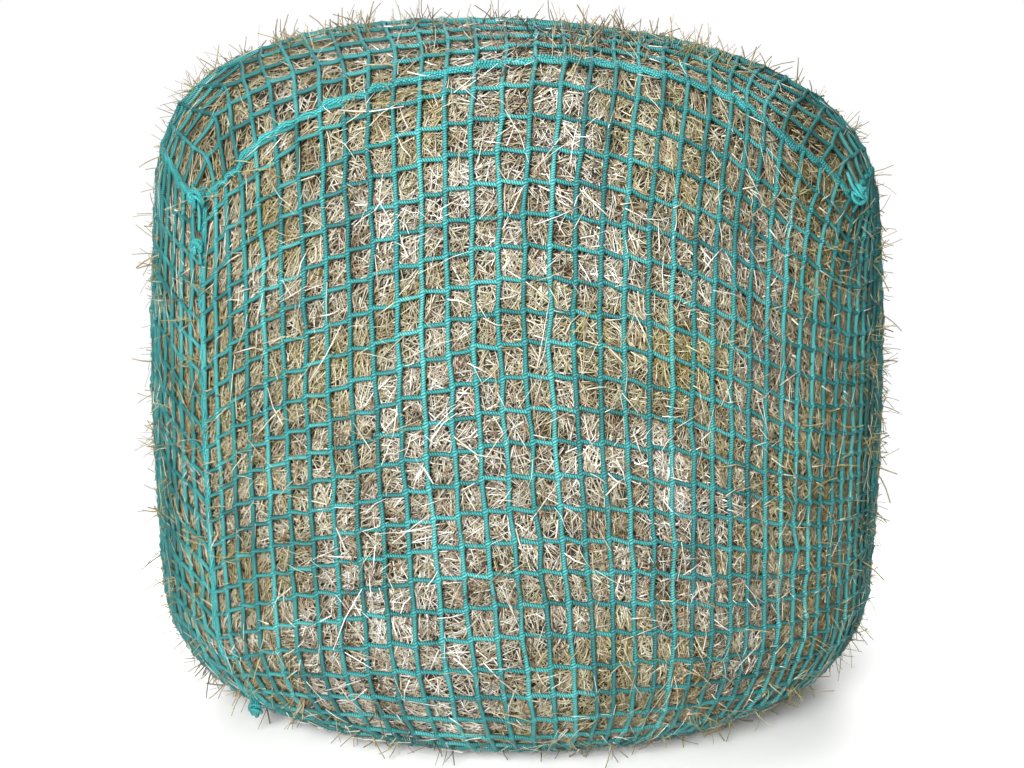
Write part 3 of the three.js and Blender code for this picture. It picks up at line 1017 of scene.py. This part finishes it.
def add_side_seam():
    """The lacing that closes the side strip, from the corner knot to the mouth."""
    sole_height = 4.4 * MM
    thickness = 3.0 * MM
    start = seam_station(SIDE_SEAM_BEARING) + 0.01
    station = np.linspace(start, MOUTH_STATION, ROWS * LACING_STEPS)
    bearing = np.full(len(station), SIDE_SEAM_BEARING)
    height = np.where(station > HEEL_START + UNDER_SOLE, sole_height, SEAM_HEIGHT)
    centre, normals, sideways = seam_frame(station, bearing, height)
    replaced = [f"side_seam_cord_{part}" for part in ("top", "wall", "sole")]
    lacing_coil("side_seam", centre, normals, sideways, ROWS, thickness, replaced)


def knot_curve(samples, loops_wide, loops_deep, size, thickness, twist):
    """A closed winding that crosses over itself like a tied knot, flat in its third axis."""
    turn = np.linspace(0, 2 * math.pi, samples)
    reach = 0.62 + 0.38 * np.cos(loops_wide * turn + twist)
    x = reach * np.cos(loops_deep * turn)
    y = reach * np.sin(loops_deep * turn)
    z = np.sin(loops_wide * turn + twist)
    return np.stack([x * size, y * size, z * thickness], axis=-1)


def add_knot(name, replaced, tails):
    """A tied lacing knot over the CAD knot's place: windings and short cord ends."""
    low, high = (np.array(corner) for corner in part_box(replaced))
    middle = (low + high) / 2
    size = np.linalg.norm(high - low) / math.sqrt(3) / 2
    outward = unit(np.array([middle[0], middle[1], 0.0]))
    if middle[2] < HEEL_RADIUS:
        downward = -0.5 * np.hypot(middle[0], middle[1])
        outward = unit(np.array([middle[0], middle[1], downward]))
    right = unit(np.cross(np.array([0.0, 0.0, 1.0]), outward))
    up = np.cross(outward, right)
    axes = np.stack([right, up, outward])
    samples = 90
    routes = []
    windings = ((3, 2, 1.0, 0.0), (5, 2, 0.78, 1.1), (4, 3, 0.9, 2.3))
    for wide, deep, scale, twist in windings:
        curve = knot_curve(samples, wide, deep, size * scale, size * 0.42, twist)
        curve += 0.06 * size * np.sin(np.linspace(0, 9, samples))[:, None]
        routes.append(middle + curve @ axes)
    for angle, reach in tails:
        share = np.linspace(0, 1, samples)[:, None]
        heading = right * math.cos(angle) + up * math.sin(angle)
        drop = outward * (-0.3 * size) * share
        swing = np.cross(outward, heading) * 0.25 * size * np.sin(share * 4)
        routes.append(middle + heading * reach * share + drop + swing)
    facing = np.broadcast_to(outward, (samples, 3))
    cord_radius = 2.6 * MM
    add_cords(name, routes, [facing] * len(routes), cord_radius, [replaced])


def add_knots():
    """The corner knots and the side seam's two, each with its short ends (angle, length)."""
    tails = {
        "front_left": [(2.3, 0.035), (0.7, 0.03), (-1.5, 0.05)],
        "front_right": [(2.5, 0.05), (0.9, 0.03), (-1.9, 0.035)],
        "back_right": [(2.3, 0.035), (0.8, 0.035)],
        "back_left": [(2.2, 0.03), (0.6, 0.035)],
    }
    for corner, ends in tails.items():
        add_knot(f"knot_{corner}", f"corner_knot_{corner}", ends)
    add_knot("side_seam_high_knot", "side_seam_knot_high", [(1.9, 0.06), (-1.2, 0.03)])
    add_knot("side_seam_low_knot", "side_seam_knot_low", [(1.5, 0.04)])


def add_mouth():
    """The mouth's edge cord, and the draw rope inside it with its knot."""
    samples = 4 * COLUMNS
    turn = np.linspace(0, 2 * math.pi, samples)
    circle = np.stack([np.sin(turn), -np.cos(turn), 0 * turn], axis=-1)
    middle = np.array([0, 0, (mouth_low[2] + mouth_high[2]) / 2])
    edge_radius = (mouth_high[0] - mouth_low[0]) / 2 - 4 * MM
    facing = np.broadcast_to([0.0, 0.0, -1.0], (samples, 3))
    ripple = 1.2 * MM * np.sin(turn * COLUMNS / 2)[:, None]
    edge = middle + circle * (edge_radius + ripple)
    add_cords("mouth_edge", [edge], [facing], 3.6 * MM, ["mouth_edge_cord"])
    rope_low, rope_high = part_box("draw_rope")
    rope_radius = (rope_high[0] - rope_low[0]) / 2 - 4.5 * MM
    rope = middle + circle * (rope_radius + 0.8 * ripple)
    add_cords("draw_rope_ring", [rope], [facing], 4.2 * MM, ["draw_rope"])
    knot_low, knot_high = (np.array(corner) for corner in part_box("draw_rope_knot"))
    size = (knot_high - knot_low) / 2
    knot_cord_radius = 2.2 * MM
    curve = knot_curve(samples, 3, 2, 1.0, 1.0, 0.4) * (size - knot_cord_radius - 0.2 * MM)
    knot = (knot_low + knot_high) / 2 + curve
    replaced = ["draw_rope_knot"]
    add_cords("draw_rope_tie", [knot], [facing], knot_cord_radius, replaced)


# ---- the studio ----


def add_stage():
    """A pale floor that fades into the white studio."""
    material, tree, shader = new_material("pale_floor")
    feed(shader.inputs["Base Color"], (0.86, 0.86, 0.85))
    feed(shader.inputs["Roughness"], 0.8)
    clear = node(tree, "BsdfTransparent")
    fading = node(tree, "MixShader")
    distance = node(tree, "VectorMath", operation="LENGTH")
    feed(distance.inputs[0], node(tree, "TexCoord").outputs["Object"])
    smooth = "SMOOTHSTEP"
    reach = node(tree, "MapRange", interpolation_type=smooth, From_Min=0.9, From_Max=3.0)
    feed(reach.inputs["Value"], distance.outputs["Value"])
    feed(fading.inputs[0], reach.outputs["Result"])
    feed(fading.inputs[1], shader.outputs[0])
    feed(fading.inputs[2], clear.outputs[0])
    feed(tree.nodes["Material Output"].inputs["Surface"], fading.outputs[0])
    half = 12.0
    corners = np.array([[-half, -half, 0], [half, -half, 0], [half, half, 0], [-half, half, 0.0]])
    mesh = bpy.data.meshes.new("floor")
    mesh.from_pydata(corners.tolist(), [], [(0, 1, 2, 3)])
    mesh.materials.append(material)
    floor = placed("floor", mesh)


def add_light(name, place, size, energy):
    """A soft square lamp that faces the middle of the bale."""
    data = bpy.data.lights.new(name, "AREA")
    data.shape = "SQUARE"
    data.size = size
    data.energy = energy
    lamp = placed(name, data)
    lamp.location = place
    aim(lamp, (0, 0, BALE_HEIGHT / 2))


def aim(obj, target):
    """Turns a lamp or camera to face a point."""
    away = np.array(target) - np.array(obj.location)
    direction = obj.location.copy()
    direction.x, direction.y, direction.z = away
    obj.rotation_euler = direction.to_track_quat("-Z", "Y").to_euler()


def add_lights():
    """A key light in front, softer ones above and behind, and a white surround."""
    add_light("key_light", (-0.6, -2.5, 1.0), 0.9, 136)
    add_light("top_light", (0.0, 0.0, 3.6), 2.4, 105)
    add_light("right_light", (2.3, 3.9, 1.7), 1.6, 230)
    add_light("left_light", (-2.3, 3.9, 1.7), 1.6, 250)
    world = bpy.data.worlds.new("studio")
    bpy.context.scene.world = world
    world.use_nodes = True
    tree = world.node_tree
    lighting = tree.nodes["Background"]
    feed(lighting.inputs["Color"], WHITE)
    feed(lighting.inputs["Strength"], 0.2)
    backdrop = node(tree, "Background", Color=(*WHITE, 1))
    choice = node(tree, "MixShader")
    sight = node(tree, "LightPath")
    feed(choice.inputs[0], sight.outputs["Is Camera Ray"])
    feed(choice.inputs[1], lighting.outputs[0])
    feed(choice.inputs[2], backdrop.outputs[0])
    feed(tree.nodes["World Output"].inputs["Surface"], choice.outputs[0])


def add_camera():
    """The photo's viewpoint: close, at half the bale's height and a little to the left."""
    distance = 2.01
    azimuth = math.radians(-3.0)
    data = bpy.data.cameras.new("camera")
    data.sensor_width = 36.0
    data.lens = 31.4
    data.shift_x = -0.005
    camera = placed("camera", data)
    height = 0.606
    camera.location = (distance * math.sin(azimuth), -distance * math.cos(azimuth), height)
    aim(camera, (0, 0, height))
    bpy.context.scene.camera = camera


add_camera()
add_lights()
add_stage()
add_hay()
add_side_net()
add_top_net()
for side_name, side_middle in {"front": 0, "right": 90, "back": 180, "left": 270}.items():
    add_top_seam(side_name, side_middle)
add_side_seam()
add_knots()
add_mouth()
bpy.context.scene.view_settings.view_transform = "Standard"
